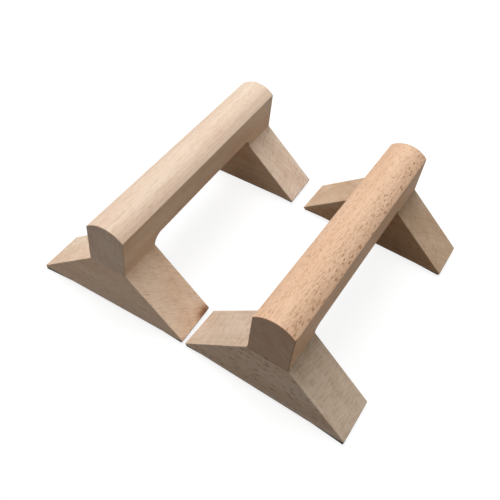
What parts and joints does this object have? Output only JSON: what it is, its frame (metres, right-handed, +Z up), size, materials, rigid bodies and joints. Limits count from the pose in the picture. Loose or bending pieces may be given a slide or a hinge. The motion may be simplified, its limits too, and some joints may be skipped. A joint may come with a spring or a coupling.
{
  "type": "parallette bar pair",
  "caption": "Low wooden parallette bars for push-ups and handstands, each a D-shaped grip beam on wedge feet with thin rubber pads.",
  "frame": {"origin": "under the middle of the box around both bars, on the surface that the pads stand on", "axes": "+X across the pair from the left bar to the right bar, +Y along the left bar from its front foot to its rear foot, +Z up"},
  "size_m": [0.379, 0.3102, 0.1167],
  "materials": {
    "left_grip_wood": "satin",
    "right_grip_wood": "satin",
    "left_foot_wood": "satin",
    "right_foot_wood": "satin",
    "pad_rubber": "matte",
    "screw_steel": "satin"
  },
  "bodies": {
    "left_bar": {"left_grip": "left_grip_wood", "left_front_foot": "left_foot_wood", "left_rear_foot": "left_foot_wood", "left_front_outer_pad": "pad_rubber", "left_front_inner_pad": "pad_rubber", "left_rear_outer_pad": "pad_rubber", "left_rear_inner_pad": "pad_rubber", "left_front_outer_screw": "screw_steel", "left_front_inner_screw": "screw_steel", "left_rear_outer_screw": "screw_steel", "left_rear_inner_screw": "screw_steel"},
    "right_bar": {"right_grip": "right_grip_wood", "right_front_foot": "right_foot_wood", "right_rear_foot": "right_foot_wood", "right_front_outer_pad": "pad_rubber", "right_front_inner_pad": "pad_rubber", "right_rear_outer_pad": "pad_rubber", "right_rear_inner_pad": "pad_rubber", "right_front_outer_screw": "screw_steel", "right_front_inner_screw": "screw_steel", "right_rear_outer_screw": "screw_steel", "right_rear_inner_screw": "screw_steel"}
  },
  "joints": [
    {"name": "spacing_slide", "type": "slide", "parent": "left_bar", "child": "right_bar", "axis": [1, 0, 0], "range_m": [0, 0.42]}
  ]
}
